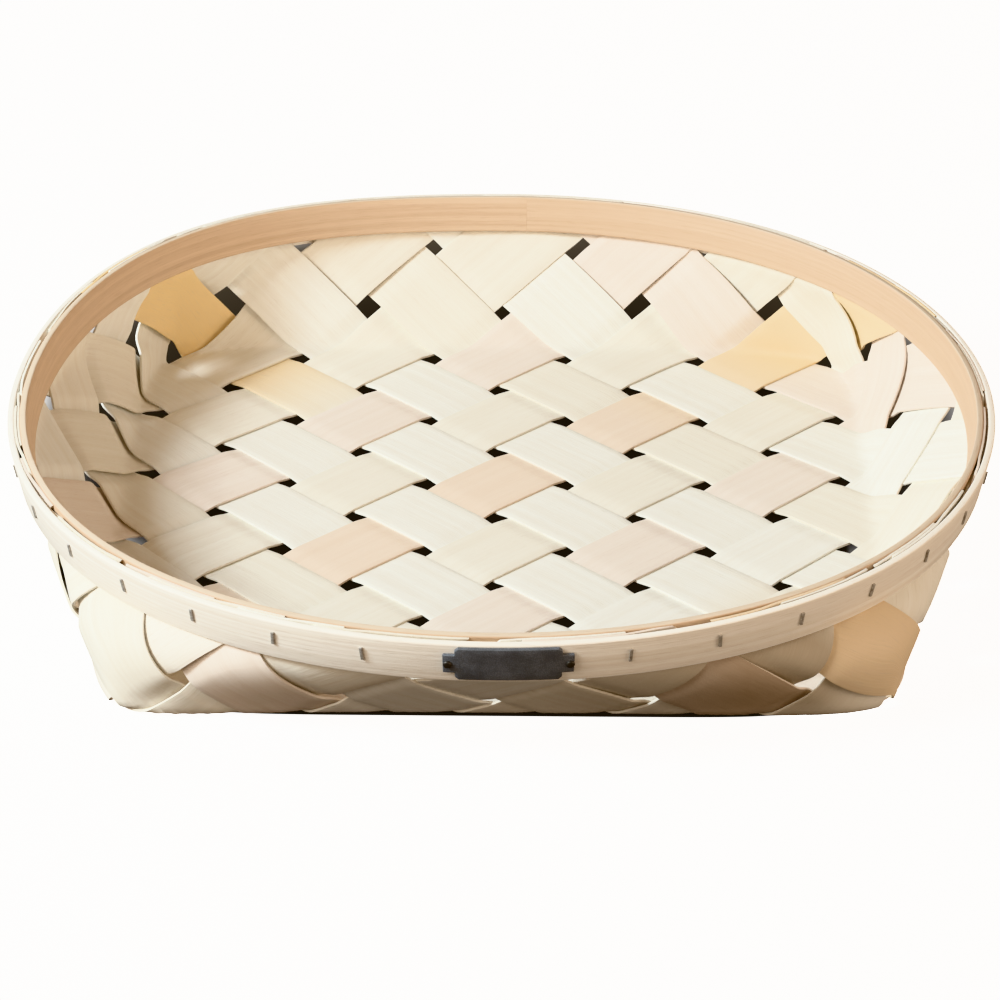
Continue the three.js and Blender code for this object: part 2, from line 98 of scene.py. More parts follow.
HOOP_SLANT = 0.0167         # height of the rim, measured along its tilted face
SLOT_HALF = 0.00096         # half the slot between the hoops, which the two layers of splints fill
HOOP_THICKNESS = 0.00259
HOOP_FACE = SLOT_HALF + HOOP_THICKNESS
RING_SIDES = 40             # the frame's hoops have this many flat stretches
ROUNDING = (1 + math.cos(math.pi / RING_SIDES)) / 2     # a circle between their corners and flats

rim_low, rim_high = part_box("outer_hoop")
RIM_CENTRE = (rim_low + rim_high) / 2
RIM_CENTRE.z = WEAVE_MIDDLE
TOP_RADIUS = ((rim_high.x - rim_low.x) / 2 - HOOP_FACE * math.cos(RIM_TILT)) * ROUNDING
TOP_HEIGHT = cad_box[1][2] - HOOP_FACE * math.sin(RIM_TILT)
BEND_RADIUS = TOP_RADIUS - HOOP_SLANT * math.sin(RIM_TILT)
BEND_HEIGHT = TOP_HEIGHT - HOOP_SLANT * math.cos(RIM_TILT)

SPLINT_ROWS = 320
SPLINT_COLUMNS = 9
SPLINT_EDGE = 0.00012       # the sliced edges are only just broken
SPLINT_EDGE_ANGLE = math.radians(50)
WOOD_SMOOTH = math.radians(35)
SLOPE_STEP = 0.0002         # the slope of the weave is taken this far either side of a point
GRAIN_SPREAD = 9            # each splint takes its grain from elsewhere in the pattern, up to this far off
END_ROUNDS = 12             # tries in which a splint finds where it meets the rim
END_DEPTH = (0.0, 0.0004)   # how far the splint ends stop below the top of the rim
SHORT_ENDS = {              # a few are cut shorter and leave a slit between the hoops
    ("left", 3, "last"): 0.0022,
    ("left", 8, "last"): 0.0034,
    ("left", 9, "last"): 0.0040,
    ("right", 2, "first"): 0.0025,
    ("right", 5, "first"): 0.0022,
    ("right", 10, "first"): 0.0025,
}
SLANT_REACH = 0.07          # an end is cut to the rim's curve, and the slant fades out over this length
SKEW = 0.0005               # a splint lies this far off its line at most
WIDTH_SPREAD = 0.0004       # and is up to this much wider or narrower
SHIFT_FROM = 0.085          # some ends lie askew: their edges begin to wander this far from the end
SHIFT_FULL = 0.045          # and have gone their whole way this far from it
EDGE_SHIFTS = {             # how far the near and far edge of a splint's first or last end wander
    ("left", 4, "first"): (0.0, -0.004),
    ("left", 5, "first"): (0.0, -0.005),
    ("left", 6, "first"): (0.0055, 0.0),
    ("left", 9, "first"): (-0.0015, 0.0),
    ("left", 10, "first"): (0.0025, 0.0),
    ("right", 4, "last"): (0.0, -0.003),
    ("right", 5, "last"): (0.0, -0.004),
    ("right", 7, "last"): (-0.002, 0.0),
    ("right", 9, "last"): (-0.0025, 0.0015),
}

TONES = {
    "splint_ivory": "#eeede6",
    "splint_cream": "#ebe7dc",
    "splint_rosy": "#ebe1d7",
    "splint_peach": "#ecdccb",
    "splint_honey": "#eeede6",
}
TURNS = {                   # two run from corner to corner and turn other colours at the back and the front
    "splint_honey": ((-1, 1), "#f2d6a4", "#e2cdb0"),
    "splint_peach": ((1, 1), "#f3dcb4", "#f0eadf"),
}
TURN_START = 0.09           # the turn begins this far from the middle of the base
TURN_FULL = 0.17            # and is complete this far from it
PAINTED_SHADE_RIGHT = (0.015, 0.085)    # the others get a painted shade, darker and browner, on the outside of the front wall, over this stretch to the right,
PAINTED_SHADE_FRONT = (-0.125, -0.145)  # over this one to the front
PAINTED_SHADE_FACING = (-0.15, -0.5)    # and as their normals turn forwards by this much,
PAINTED_SHADE_TONE = (0.52, 0.26)      # to this share of their brightness, with this much less blue
RIGHT_TONES = ["rosy", "cream", "ivory", "rosy", "cream", "peach", "cream", "rosy", "cream", "cream"]
LEFT_TONES = ["cream", "ivory", "cream", "ivory", "ivory", "honey", "ivory", "cream", "ivory", "rosy"]

chance = random.Random(20)


def colour(hex_code):
    """A screen colour such as #eee6d2 as the linear colour that shaders take."""
    channels = [int(hex_code[i:i + 2], 16) / 255 for i in (1, 3, 5)]
    return tuple(c / 12.92 if c <= 0.04045 else ((c + 0.055) / 1.055) ** 2.4 for c in channels) + (1.0,)


class Value:
    """One output of a shader node. Sums on it add Math nodes, and node() adds any other node."""

    def __init__(self, tree, socket=None):
        self.tree = tree
        self.socket = socket

    def node(self, kind, settings=None, sockets=None, output=0):
        """Adds a node, makes its settings, then gives its sockets their values or links."""
        made = self.tree.nodes.new("ShaderNode" + kind)
        for name, setting in (settings or {}).items():
            if name == "stops":
                ramp = made.color_ramp
                while len(ramp.elements) < len(setting):
                    ramp.elements.new(1.0)
                for element, (place, shade) in zip(ramp.elements, setting):
                    element.position = place
                    element.color = shade
            else:
                setattr(made, name, setting)
        for name, value in (sockets or {}).items():
            if isinstance(value, Value):
                self.tree.links.new(value.socket, made.inputs[name])
            else:
                made.inputs[name].default_value = value
        return Value(self.tree, made.outputs[output])

    def _sum(self, operation, first, second):
        return self.node("Math", {"operation": operation}, {0: first, 1: second})

    def __add__(self, other):
        return self._sum("ADD", self, other)

    def __sub__(self, other):
        return self._sum("SUBTRACT", self, other)

    def __mul__(self, other):
        return self._sum("MULTIPLY", self, other)

    def __radd__(self, other):
        return self._sum("ADD", other, self)

    def __rsub__(self, other):
        return self._sum("SUBTRACT", other, self)

    def __rmul__(self, other):
        return self._sum("MULTIPLY", other, self)

    def mixed(self, first, second):
        """A colour that goes from first to second as this value goes from 0 to 1."""
        settings = {"data_type": "RGBA", "blend_type": "MIX"}
        return self.node("Mix", settings, {0: self, 6: first, 7: second}, output=2)

    def band(self, low, high):
        """This value stretched so that low becomes 0 and high becomes 1."""
        sockets = {"Value": self, "From Min": low, "From Max": high}
        return self.node("MapRange", {"clamp": True}, sockets)

    def part(self, axis):
        """One of the coordinates of this vector."""
        return self.node("SeparateXYZ", None, {"Vector": self}, output=axis)


def finish(name):
    """A new material: its Principled shader and a Value to grow nodes from."""
    material = bpy.data.materials.new(name)
    material.use_nodes = True
    shader = material.node_tree.nodes["Principled BSDF"]
    return material, shader, Value(material.node_tree)


def feed(value, socket):
    """Links a value to a socket of its tree."""
    value.tree.links.new(value.socket, socket)


def shade_of(base, factor, warmth=0.0):
    """A darker or lighter shade of a linear colour, with its blue held back by warmth."""
    red, green, blue, _ = base
    return (red * factor, green * factor * (1 - warmth / 2), blue * factor * (1 - warmth), 1.0)


def grain_noise(tree, along, across, detail=3.0, roughness=0.55):
    """Noise drawn out along the fibres, on the piece's own UV map.
    It has so many features per metre along and across them."""
    place = tree.node("TexCoord", output=2)
    fibres = {"Vector": place, "Scale": (along, across, 1)}
    stretched = tree.node("Mapping", {"vector_type": "POINT"}, fibres)
    sockets = {"Vector": stretched, "Scale": 1.0, "Detail": detail, "Roughness": roughness}
    return tree.node("TexNoise", {"noise_dimensions": "2D"}, sockets)


def chip_wood(name, base, turn=None):
    """Raw sliced wood: long pale streaks, fine fibres, a few darker flecks and a soft cloudiness.
    A turn is the way a splint runs to the back, and its colours at the back and the front.
    Without a turn, the outside of the front wall right of its middle gets a painted shade, darker and
    browner."""
    material, shader, tree = finish(name)
    streaks = grain_noise(tree, 9, 330).band(0.30, 0.72)
    fibres = grain_noise(tree, 60, 2400, detail=2.0).band(0.30, 0.70)
    flecks = grain_noise(tree, 170, 2100, detail=1.0).band(0.66, 0.76)
    place = tree.node("TexCoord", output=3)
    clouds = tree.node("TexNoise", None, {"Vector": place, "Scale": 26.0, "Detail": 2.0}).band(0.32, 0.70)
    tone = streaks.mixed(shade_of(base, 0.95, 0.05), shade_of(base, 1.02))
    tone = (0.40 * clouds).mixed(tone, shade_of(base, 0.96, 0.06))
    x, y = place.part(0), place.part(1)
    if turn:
        way, back, front = turn
        run = math.sqrt(0.5) * (way[0] * x + way[1] * y)
        tone = run.band(TURN_START, TURN_FULL).mixed(tone, colour(back))
        tone = run.band(-TURN_START, -TURN_FULL).mixed(tone, colour(front))
    else:
        # Painted shade: the outside of the front wall, right of its middle, is darkened and browned where
        # it lies in shade.
        facing = tree.node("NewGeometry", output=1).part(1)
        painted_front_shade = x.band(*PAINTED_SHADE_RIGHT) * y.band(*PAINTED_SHADE_FRONT) * facing.band(*PAINTED_SHADE_FACING)
        tone = painted_front_shade.mixed(tone, shade_of(base, *PAINTED_SHADE_TONE))
    tone = (0.10 * fibres).mixed(tone, shade_of(base, 0.80, 0.14))
    tone = (0.18 * flecks).mixed(tone, shade_of(base, 0.66, 0.22))
    feed(tone, shader.inputs["Base Color"])
    feed(0.56 + 0.16 * fibres, shader.inputs["Roughness"])
    relief = 0.6 * fibres + 0.4 * streaks
    bump = tree.node("Bump", None, {"Strength": 0.22, "Distance": 0.0003, "Height": relief})
    feed(bump, shader.inputs["Normal"])
    shader.inputs["Specular IOR Level"].default_value = 0.35
    return material


def rounded_turn(x, reach):
    """0 before a turn and x after it, joined by a parabola over reach either side."""
    inside = np.clip(x, -reach, reach) + reach
    return np.where(x > reach, x, inside * inside / (4 * reach))


def ease(x):
    """A smooth step from 0 at 0 to 1 at 1."""
    x = np.clip(x, 0, 1)
    return x * x * (3 - 2 * x)


def corner_pull(x, y):
    """How far the drawn-out corners shift a point of the base."""
    shift = np.zeros(np.shape(x) + (3,))
    for (right, back), pull in CORNER_PULL.items():
        nearness = np.clip(2 * right * x / BASE_SIDE, 0, 1) * np.clip(2 * back * y / BASE_SIDE, 0, 1)
        shift = shift + nearness[..., None] ** PULL_POWER * np.array([*pull, 0.0])
    return shift


def arch(x, y):
    """How high the base's edges arch off the ground."""
    rise = 0 * x
    for right, back, height in ARCHES:
        out = np.clip((right * x + back * y - ARCH_START) / (ARCH_END - ARCH_START), 0, 1)
        beside = np.clip(2 * (abs(back) * x + abs(right) * y) / BASE_SIDE, -1, 1)
        rise = rise + height * out ** 2 * (1 - beside ** 2)
    return rise


def around(bearing, amounts):
    """An amount given at the corners and the middles of the sides, which changes smoothly between them."""
    total = 0 * bearing
    for degrees, amount in zip(BEARINGS, amounts):
        off = np.remainder(bearing - math.radians(degrees) + math.pi, 2 * math.pi) - math.pi
        total = total + amount * np.cos(2 * np.clip(off, -math.pi / 4, math.pi / 4)) ** 2
    return total


def base_edge(along):
    """The base's edge, at a distance round it from the front left corner: point, bulge and way out."""
    side = np.floor(along / BASE_SIDE)
    u = along - side * BASE_SIDE
    bulge = np.take(BASE_BULGES, side.astype(int) % 4) * (1 - (2 * u / BASE_SIDE - 1) ** BULGE_POWER)
    x = u - BASE_SIDE / 2
    y = -BASE_SIDE / 2 - bulge
    cos, sin = np.cos(side * math.pi / 2), np.sin(side * math.pi / 2)
    point = np.stack([x * cos - y * sin, x * sin + y * cos, 0 * x], -1)
    point = point + corner_pull(point[..., 0], point[..., 1]) + (WEAVE_SHIFT, 0, 0)
    return point, bulge[..., None], np.stack([sin, -cos, 0 * x], -1)


def soft_base_edge(along):
    """The same with its corners rounded, by averaging over a short stretch."""
    spread = [base_edge(along + CORNER_REACH * share) for share in np.linspace(-1, 1, CORNER_SAMPLES)]
    return [sum(parts) / len(parts) for parts in zip(*spread)]


def tray_side(along, out):
    """The middle of the weave on the tray's side, which is laid flat as (along the edge, out from it).
    Gives the point and how far out the rim begins."""
    edge, bulge, outward = soft_base_edge(along)
    bearing = (along / BASE_SIDE - 1.5) * math.pi / 2
    radial = np.stack([np.cos(bearing), np.sin(bearing), 0 * bearing], -1)
    upright = np.array([0.0, 0.0, 1.0])
    changes = (RIM_SWELLS, RIM_LIFTS, WALL_BELLIES)
    swell, lift, belly = (around(bearing, amounts)[..., None] for amounts in changes)
    bend = (BEND_RADIUS + swell) * radial + (BEND_HEIGHT + lift - WEAVE_MIDDLE) * upright
    rise = np.linalg.norm(bend - edge, axis=-1, keepdims=True)
    up_side = (bend - edge) / rise
    up_rim = math.sin(RIM_TILT) * radial + math.cos(RIM_TILT) * upright
    past_fold = out[..., None] - bulge
    point = edge + outward * past_fold
    point = point + (up_side - outward) * rounded_turn(past_fold, FOLD_REACH)
    point = point + (up_rim - up_side) * rounded_turn(past_fold - rise, BEND_REACH)
    share = np.clip(past_fold / rise, 0, 1)
    point = point + radial * belly * share ** 2 * (1 - share) * BELLY_SCALE
    return point, (bulge + rise)[..., 0]


def laid_flat(s, c, heading, side):
    """Where a point s along and c across a splint lies on one side of the tray, laid flat."""
    x = s * math.cos(heading) - c * math.sin(heading)
    y = s * math.sin(heading) + c * math.cos(heading)
    turn = side * math.pi / 2
    along = side * BASE_SIDE + BASE_SIDE / 2 + x * math.cos(turn) + y * math.sin(turn)
    out = x * math.sin(turn) - y * math.cos(turn) - BASE_SIDE / 2
    return x, y, along, out


def weave_surface(s, c, heading, sides):
    """The middle of the weave at s along and c across a splint that leaves the base by the given sides."""
    point = None
    for side in sides:
        x, y, along, out = laid_flat(s, c, heading, side)
        if point is None:
            point = np.stack([x + WEAVE_SHIFT, y, 0 * x], -1) + corner_pull(x, y)
        raised, _ = tray_side(along, out)
        onto_side = ease((out + FOLD_REACH) / FOLD_REACH)[..., None]
        point = np.where(onto_side > 0, point + (raised - point) * onto_side, point)
    below_rim = 1 - np.clip(point[..., 2] / (BEND_HEIGHT - WEAVE_MIDDLE), 0, 1)
    point[..., 2] += arch(x, y) * below_rim
    return point


def splint_end(c, heading, side, sign, depth):
    """How far along the splint its end lies, so that it stops at a depth below the top of the rim."""
    s = np.full_like(c, sign * BASE_SIDE / 2)
    for _ in range(END_ROUNDS):
        _, _, along, out = laid_flat(s, c, heading, side)
        _, rim_begins = tray_side(along, out)
        s = s + sign * math.sqrt(2) * (rim_begins + HOOP_SLANT - depth - out)
    return s


def layer_of(s, line):
    """1 where the splint passes over, -1 where it passes under, with an eased change between crossings."""
    crossing = np.round(s / PITCH)
    before = np.where((crossing - 1 + line) % 2 == 0, 1.0, -1.0)
    share = ease((s - crossing * PITCH) / LAYER_CHANGE + 0.5)
    return before * (1 - 2 * share)


def woven_place(s, c, heading, sides, line):
    """Where a splint lies, over or under the middle of the weave, at s along and c across it."""
    middle = weave_surface(s, c, heading, sides)
    ahead, behind = (weave_surface(s + step, c, heading, sides) for step in (SLOPE_STEP, -SLOPE_STEP))
    left, right = (weave_surface(s, c + step, heading, sides) for step in (SLOPE_STEP, -SLOPE_STEP))
    normal = np.cross(ahead - behind, left - right)
    normal = normal / np.linalg.norm(normal, axis=-1, keepdims=True)
    up = np.clip(middle[:, 2] / (BEND_HEIGHT - WEAVE_MIDDLE), 0, 1)
    parting = 4 * up * (1 - up) * around(np.arctan2(middle[:, 1], middle[:, 0]), LOOSENESS)
    rise = (LAYER_RISE + WALL_BOW * parting) * layer_of(s, line)
    return middle + normal * rise[:, None] + np.array(RIM_CENTRE)


def soften(piece, width, segments, angle):
    """Rounds the edges of a piece that turn by more than an angle."""
    edges = piece.modifiers.new("edges", "BEVEL")
    edges.width = width
    edges.segments = segments
    edges.limit_method = "ANGLE"
    edges.angle_limit = angle
    bpy.ops.object.modifier_apply(modifier=edges.name)


def make_splint(name, family, place, quarter_turns):
    """One splint, drawn as a flat grid, carried onto the woven form and given its thickness."""
    line = place - 1 - SPLINTS_PER_SIDE
    heading = math.pi / 4 + quarter_turns * math.pi / 2
    centre = (line + 0.5) * PITCH + chance.uniform(-SKEW, SKEW)
    width = SPLINT_WIDTH + chance.uniform(-WIDTH_SPREAD, WIDTH_SPREAD)
    sides = [(side + quarter_turns) % 4 for side in ([2, 3] if line >= 0 else [1, 0])]
    bpy.ops.object.select_all(action="DESELECT")
    bpy.ops.mesh.primitive_grid_add(x_subdivisions=SPLINT_ROWS, y_subdivisions=SPLINT_COLUMNS, size=1)
    splint = bpy.context.object
    splint.name = name
    mesh = splint.data
    flat = np.zeros(len(mesh.vertices) * 3)
    mesh.vertices.foreach_get("co", flat)
    share, across = flat.reshape(-1, 3)[:, 0] + 0.5, flat.reshape(-1, 3)[:, 1]
    straight = centre + across * width
    ends = []
    for side, sign, end in zip(sides, (1, -1), ("last", "first")):
        depth = SHORT_ENDS.get((family, place, end), chance.uniform(*END_DEPTH))
        near, far = EDGE_SHIFTS.get((family, place, end), (0.0, 0.0))
        shift = near * (0.5 - across) + far * (0.5 + across)
        reach = splint_end(np.array([centre]), heading, side, sign, depth)[0]
        ends.append((reach, splint_end(straight + shift, heading, side, sign, depth) - reach, shift))
    (last, last_slant, last_shift), (first, first_slant, first_shift) = ends
    s = first + share * (last - first)
    shift_run = SHIFT_FROM - SHIFT_FULL
    c = straight + last_shift * ease((s - last + SHIFT_FROM) / shift_run)
    c = c + first_shift * ease((first - s + SHIFT_FROM) / shift_run)
    at_last = last_slant * ease((s - last) / SLANT_REACH + 1)
    at_first = first_slant * ease((first - s) / SLANT_REACH + 1)
    s = s + at_last + at_first
    mesh.vertices.foreach_set("co", woven_place(s, c, heading, sides, line).ravel())

    grain = np.zeros(len(mesh.loops) * 2)
    mesh.uv_layers.active.data.foreach_get("uv", grain)
    patch = (chance.uniform(0, GRAIN_SPREAD), chance.uniform(0, GRAIN_SPREAD))
    grain = grain.reshape(-1, 2) * (last - first, width) + patch
    mesh.uv_layers.active.data.foreach_set("uv", grain.ravel())
    mesh.update()

    thicken = splint.modifiers.new("thickness", "SOLIDIFY")
    thicken.thickness = SPLINT_THICKNESS
    thicken.offset = 0
    bpy.ops.object.modifier_apply(modifier=thicken.name)
    soften(splint, SPLINT_EDGE, 2, SPLINT_EDGE_ANGLE)
    bpy.ops.object.shade_smooth_by_angle(angle=WOOD_SMOOTH)
    return splint


splint_finishes = {slot: chip_wood(slot, colour(code), TURNS.get(slot)) for slot, code in TONES.items()}
for family, quarter_turns, tones in (("right", 0, RIGHT_TONES), ("left", -1, LEFT_TONES)):
    for place, tone in enumerate(tones, 1):
        node = f"splint_{family}_{place:02d}"
        splint = make_splint("woven_" + node, family, place, quarter_turns)
        splint.data.materials.append(splint_finishes["splint_" + tone])
        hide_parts(node)
        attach(splint, "root")
        "splint_" + tone

# Inner hoop: a lath of peach-tan wood, planed smooth and bent into a ring inside the splint ends.
# Its ends are cut on a slant and meet at the back of the tray.
INNER_HOOP_HEIGHT = 0.014
HOOP_EDGE = 0.0006
JOINT_LENGTH = 0.017
JOINT_GAP = 0.0004
HOOP_CUTS = (100, 2)        # a lath is cut into stretches that bend, and each of these again
HOOP_GRAIN = 3              # the grain is taken from this far along its pattern
LINED_UP = 0.9              # share of its length by which an edge or a normal runs along an axis
INNER_HOOP_WOOD = "#d4baa0"
INNER_HOOP_EDGE = "#d8c8b4"
INNER_HOOP_CONTRAST = 0.16
BACK = math.pi / 2


def rim_point(bearing, height, out):
    """A point on the rim: height up its tilted face and out from the middle of the splint slot."""
    swell, lift = around(bearing, RIM_SWELLS), around(bearing, RIM_LIFTS)
    radius = BEND_RADIUS + swell + height * math.sin(RIM_TILT) + out * math.cos(RIM_TILT)
    rise = BEND_HEIGHT + lift + height * math.cos(RIM_TILT) - out * math.sin(RIM_TILT)
    x = RIM_CENTRE.x + radius * math.cos(bearing)
    y = RIM_CENTRE.y + radius * math.sin(bearing)
    return Vector((x, y, rise))


def new_block(name, size, place=(0, 0, 0)):
    """A block to work a piece from: x along the rim, y out of it and z up it."""
    bpy.ops.object.select_all(action="DESELECT")
    bpy.ops.mesh.primitive_cube_add(size=1)
    block = bpy.context.object
    block.name = name
    block.scale = size
    block.location = place
    bpy.ops.object.transform_apply(location=True, rotation=False, scale=True)
    return block


def select_where(mesh, element, test):
    """In edit mode, selects just the vertices, edges or faces that pass a test."""
    bpy.ops.object.mode_set(mode="EDIT")
    bpy.ops.mesh.select_mode(type={"vertices": "VERT", "edges": "EDGE", "polygons": "FACE"}[element])
    bpy.ops.mesh.select_all(action="DESELECT")
    bpy.ops.object.mode_set(mode="OBJECT")
    for item in getattr(mesh, element):
        item.select = test(item)
    bpy.ops.object.mode_set(mode="EDIT")


def runs_along(mesh, axis):
    """A test for edges that run along an axis."""
    def test(edge):
        first, second = (mesh.vertices[i].co for i in edge.vertices)
        way = second - first
        return abs(way[axis]) > LINED_UP * way.length
    return test


def make_hoop(name, height, foot, face, joint):
    """A straight lath with broken edges and slanted ends, bent round the rim.
    It stands from foot to foot + height, with its two faces at face, and its ends meet at the joint."""
    middle = foot + height / 2
    radius = BEND_RADIUS + middle * math.sin(RIM_TILT) + sum(face) / 2 * math.cos(RIM_TILT)
    length = 2 * math.pi * radius - JOINT_GAP
    thickness = face[1] - face[0]
    hoop = new_block(name, (length, thickness, height))
    mesh = hoop.data
    select_where(mesh, "edges", runs_along(mesh, 0))
    bpy.ops.mesh.bevel(offset=HOOP_EDGE, segments=3, affect="EDGES")
    bpy.ops.object.mode_set(mode="OBJECT")
    for cuts in HOOP_CUTS:
        select_where(mesh, "edges", runs_along(mesh, 0))
        bpy.ops.mesh.subdivide(number_cuts=cuts)
        bpy.ops.object.mode_set(mode="OBJECT")
    grain = mesh.uv_layers.active or mesh.uv_layers.new()
    for loop in mesh.loops:
        x, y, z = mesh.vertices[loop.vertex_index].co
        grain.data[loop.index].uv = (x + HOOP_GRAIN, z + y + HOOP_GRAIN)
    for vertex in mesh.vertices:
        x, y, z = vertex.co
        bearing = joint + math.pi + (x + y / thickness * JOINT_LENGTH) / radius
        vertex.co = rim_point(bearing, middle + z, sum(face) / 2 + y)
    mesh.update()
    bpy.ops.object.shade_smooth_by_angle(angle=WOOD_SMOOTH)
    return hoop


def lath_wood(name, base, edge, contrast):
    """Planed lath: straight grain lines along the ring, fine pores, a faint polish and a sawn top edge."""
    material, shader, tree = finish(name)
    lines = grain_noise(tree, 3.5, 520, detail=4.0, roughness=0.6).band(0.30, 0.70)
    pores = grain_noise(tree, 110, 3000, detail=1.0).band(0.58, 0.74)
    clouds = grain_noise(tree, 14, 70, detail=2.0).band(0.30, 0.72)
    tone = lines.mixed(shade_of(base, 1 - contrast, 0.10), shade_of(base, 1.04))
    tone = (0.5 * clouds).mixed(tone, shade_of(base, 1 - contrast / 2, 0.05))
    facing_up = tree.node("NewGeometry", output=1).part(2)
    sawn = lines.mixed(shade_of(edge, 1 - contrast / 2), shade_of(edge, 1.04))
    tone = facing_up.band(0.6, 0.9).mixed(tone, sawn)
    tone = (0.28 * pores).mixed(tone, shade_of(base, 0.66, 0.22))
    feed(tone, shader.inputs["Base Color"])
    feed(0.46 + 0.18 * lines, shader.inputs["Roughness"])
    relief = lines - 0.5 * pores
    bump = tree.node("Bump", None, {"Strength": 0.18, "Distance": 0.0003, "Height": relief})
    feed(bump, shader.inputs["Normal"])
    shader.inputs["Specular IOR Level"].default_value = 0.4
    return material


inner_hoop = make_hoop(
    "bent_inner_hoop", INNER_HOOP_HEIGHT, HOOP_SLANT - INNER_HOOP_HEIGHT,
    (-HOOP_FACE, -SLOT_HALF), BACK)
inner_hoop.data.materials.append(lath_wood(
    "inner_hoop_wood", colour(INNER_HOOP_WOOD), colour(INNER_HOOP_EDGE), INNER_HOOP_CONTRAST))
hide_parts("inner_hoop")
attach(inner_hoop, "root")

# Outer hoop: a paler lath bent round the outside of the splint ends, a little taller than the inner one.
# Its slanted ends meet at the front, where the label covers them.
OUTER_HOOP_HEIGHT = 0.0162
OUTER_HOOP_WOOD = "#faf6ee"
OUTER_HOOP_CONTRAST = 0.10


def bearing_of(node):
    """The way from the rim's centre to one of the frame's pieces."""
    low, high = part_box(node)
    where = (low + high) / 2 - RIM_CENTRE
    return math.atan2(where.y, where.x)


label_bearing = bearing_of("label_plate")
outer_hoop = make_hoop(
    "bent_outer_hoop", OUTER_HOOP_HEIGHT, HOOP_SLANT - OUTER_HOOP_HEIGHT,
    (SLOT_HALF, HOOP_FACE), label_bearing)
outer_hoop.data.materials.append(lath_wood(
    "outer_hoop_wood", colour(OUTER_HOOP_WOOD), colour(OUTER_HOOP_WOOD), OUTER_HOOP_CONTRAST))
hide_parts("outer_hoop")
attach(outer_hoop, "root")

# Rim staples: dark wire staples driven from outside through both hoops and the splints between them.
# Their flat crowns stand upright on the outer hoop, and the two legs end inside the inner hoop.
STAPLE_COUNT = 34
STAPLE_CROWN = 0.0052
STAPLE_WIDTH = 0.0012
STAPLE_WIRE = 0.0007
STAPLE_LEG = 0.0062
STAPLE_ROUND = 0.0002
STAPLE_HEIGHT = 0.0098      # middle of the crown, up the rim's face
STAPLE_LEAN = 7             # degrees off upright at most
FITTING_EDGE_ANGLE = math.radians(30)
FITTING_SMOOTH = math.radians(40)
STAPLE_STEEL = "#c6c2bc"


def cut_across(place, way):
    """Cuts the faces of the piece in hand along a plane, and leaves both sides."""
    bpy.ops.object.mode_set(mode="EDIT")
    bpy.ops.mesh.select_all(action="SELECT")
    bpy.ops.mesh.bisect(plane_co=place, plane_no=way)
    bpy.ops.object.mode_set(mode="OBJECT")


def make_staple():
    """One staple at the origin: a flat crown with a leg drawn out behind each end."""
    crown = (STAPLE_WIDTH, STAPLE_WIRE, STAPLE_CROWN)
    staple = new_block("staple_pattern", crown, (0, STAPLE_WIRE / 2, 0))
    mesh = staple.data
    leg_top = STAPLE_CROWN / 2 - STAPLE_WIRE
    for height in (-leg_top, leg_top):
        cut_across((0, 0, height), (0, 0, 1))
    select_where(mesh, "polygons", lambda face: face.normal.y < -LINED_UP and abs(face.center.z) > leg_top)
    bpy.ops.mesh.extrude_region_move(TRANSFORM_OT_translate={"value": (0, -STAPLE_LEG, 0)})
    bpy.ops.object.mode_set(mode="OBJECT")
    soften(staple, STAPLE_ROUND, 2, FITTING_EDGE_ANGLE)
    bpy.ops.object.shade_smooth_by_angle(angle=FITTING_SMOOTH)
    return staple


def dark_wire(name, base):
    """Dull dark steel wire, lightly scratched and tarnished."""
    material, shader, tree = finish(name)
    place = tree.node("TexCoord", output=3)
    tarnish = tree.node("TexNoise", None, {"Vector": place, "Scale": 900.0, "Detail": 3.0}).band(0.35, 0.70)
    tone = tarnish.mixed(shade_of(base, 1.0), shade_of(base, 0.55, 0.10))
    feed(tone, shader.inputs["Base Color"])
    feed(0.38 + 0.25 * tarnish, shader.inputs["Roughness"])
    shader.inputs["Metallic"].default_value = 0.4
    return material


def stand_on_rim(bearing, height, out):
    """The place and turn that stands a piece upright on the rim at a bearing."""
    outward = Vector((math.cos(bearing) * math.cos(RIM_TILT), math.sin(bearing) * math.cos(RIM_TILT),
                      -math.sin(RIM_TILT)))
    upward = Vector((math.cos(bearing) * math.sin(RIM_TILT), math.sin(bearing) * math.sin(RIM_TILT),
                     math.cos(RIM_TILT)))
    sideways = outward.cross(upward)
    turn = Matrix((sideways, outward, upward)).transposed().to_4x4()
    return Matrix.Translation(rim_point(bearing, height, out)) @ turn


staple_steel = dark_wire("staple_wire", colour(STAPLE_STEEL))
pattern = make_staple()
for count in range(1, STAPLE_COUNT + 1):
    node = f"rim_staple_{count:02d}"
    staple = pattern.copy()
    staple.data = pattern.data.copy()
    staple.name = "wire_" + node
    bpy.context.collection.objects.link(staple)
    lean = Matrix.Rotation(math.radians(chance.uniform(-STAPLE_LEAN, STAPLE_LEAN)), 4, "Y")
    staple.data.transform(stand_on_rim(bearing_of(node), STAPLE_HEIGHT, HOOP_FACE) @ lean)
    staple.data.materials.append(staple_steel)
    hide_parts(node)
    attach(staple, "root")
bpy.data.objects.remove(pattern)

# Label plate: a bare charcoal leather plate that covers the joint of the outer hoop.
# It is die cut with a narrow tongue at each end and lies bent to the curve of the rim.
LABEL_LENGTH = 0.036
LABEL_HEIGHT = 0.0136
LABEL_THICKNESS = 0.0014
LABEL_CHAMFER = 0.0012
LABEL_EDGE = 0.0003
LABEL_SEGMENTS = 18
TONGUE_LENGTH = 0.004
TONGUE_HEIGHT = 0.0076
LABEL_SHIFT = -0.0019       # it sits this far to the left of the hoop's joint
LABEL_RISE = 0.0009         # and this far above the middle of the hoop,
LABEL_GAP = 0.0003          # with this much room behind it
LABEL_LEATHER = "#696d74"

